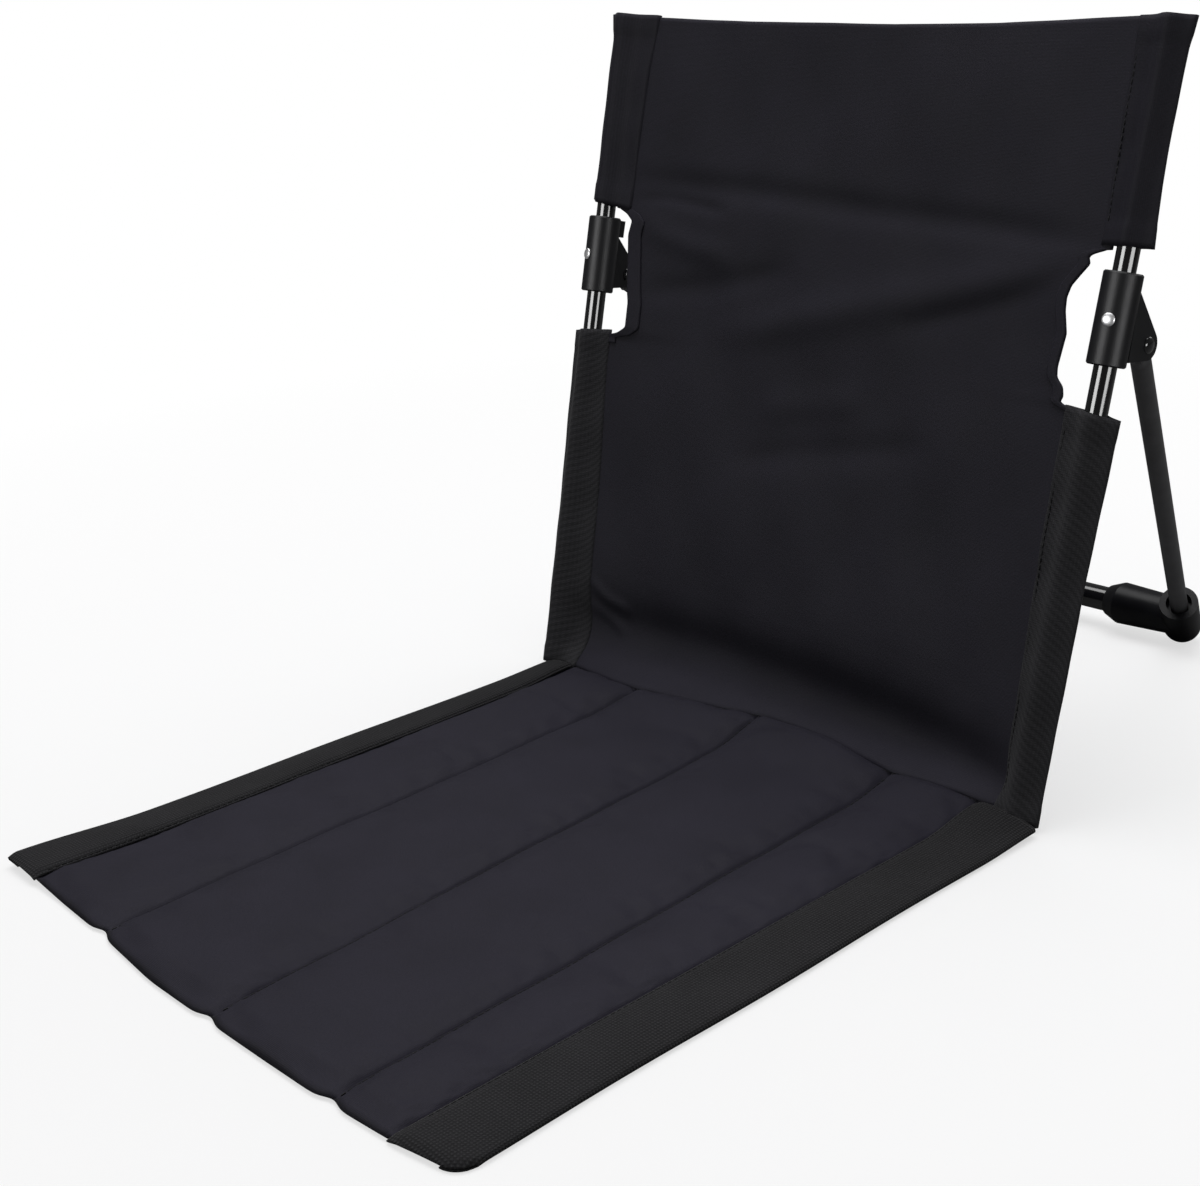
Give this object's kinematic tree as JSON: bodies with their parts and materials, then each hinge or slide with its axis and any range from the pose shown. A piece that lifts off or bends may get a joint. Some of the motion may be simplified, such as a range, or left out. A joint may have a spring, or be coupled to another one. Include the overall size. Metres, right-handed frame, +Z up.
{
  "type": "folding ground chair",
  "caption": "Legless folding camping chair with a cloth back on upright tubes, a padded seat mat that lies on the ground and a folding rear stand.",
  "frame": {"origin": "on the ground, in the middle of the footprint at rest", "axes": "the chair faces -Y, +X is to the right of someone looking at its front, +Z is up"},
  "size_m": [0.416, 0.6876, 0.4066],
  "materials": {
    "gloss_tube": "gloss black enamel",
    "matte_tube": "matte dark grey powder coat",
    "moulded_plastic": "satin black moulded",
    "bright_rivet": "bright",
    "panel_cloth": "smooth coated oxford weave",
    "band_cloth": "coarse twill",
    "padding": "soft foam sheet"
  },
  "bodies": {
    "backrest": {"left_upright_tube": "gloss_tube", "right_upright_tube": "gloss_tube", "left_top_plug": "moulded_plastic", "right_top_plug": "moulded_plastic", "left_foot_plug": "moulded_plastic", "right_foot_plug": "moulded_plastic", "left_hinge_sleeve": "moulded_plastic", "right_hinge_sleeve": "moulded_plastic", "left_sleeve_rivet": "bright_rivet", "right_sleeve_rivet": "bright_rivet", "left_pivot_pin": "matte_tube", "right_pivot_pin": "matte_tube", "left_upper_pocket": "band_cloth", "right_upper_pocket": "band_cloth", "left_lower_pocket": "band_cloth", "right_lower_pocket": "band_cloth", "back_panel": "panel_cloth"},
    "stand": {"left_leg_tube": "matte_tube", "right_leg_tube": "matte_tube", "left_elbow": "moulded_plastic", "right_elbow": "moulded_plastic", "left_cross_rivet": "bright_rivet", "right_cross_rivet": "bright_rivet", "left_leg_rivet": "bright_rivet", "right_leg_rivet": "bright_rivet", "cross_tube": "gloss_tube"},
    "seat": {"left_seat_hem": "band_cloth", "right_seat_hem": "band_cloth", "seat_ground_cloth": "panel_cloth", "seat_top_cloth": "panel_cloth", "seat_foam_1": "padding", "seat_foam_2": "padding", "seat_foam_3": "padding", "seat_foam_4": "padding"}
  },
  "joints": [
    {"name": "stand_fold", "type": "hinge", "parent": "backrest", "child": "stand", "pos_m": [0, 0.14357, 0.24338], "axis": [-1, 0, 0], "range_deg": [0, 55]},
    {"name": "seat_fold", "type": "hinge", "parent": "backrest", "child": "seat", "pos_m": [0, 0.04115, 0.003], "axis": [-1, 0, 0], "range_deg": [0, 100]}
  ]
}
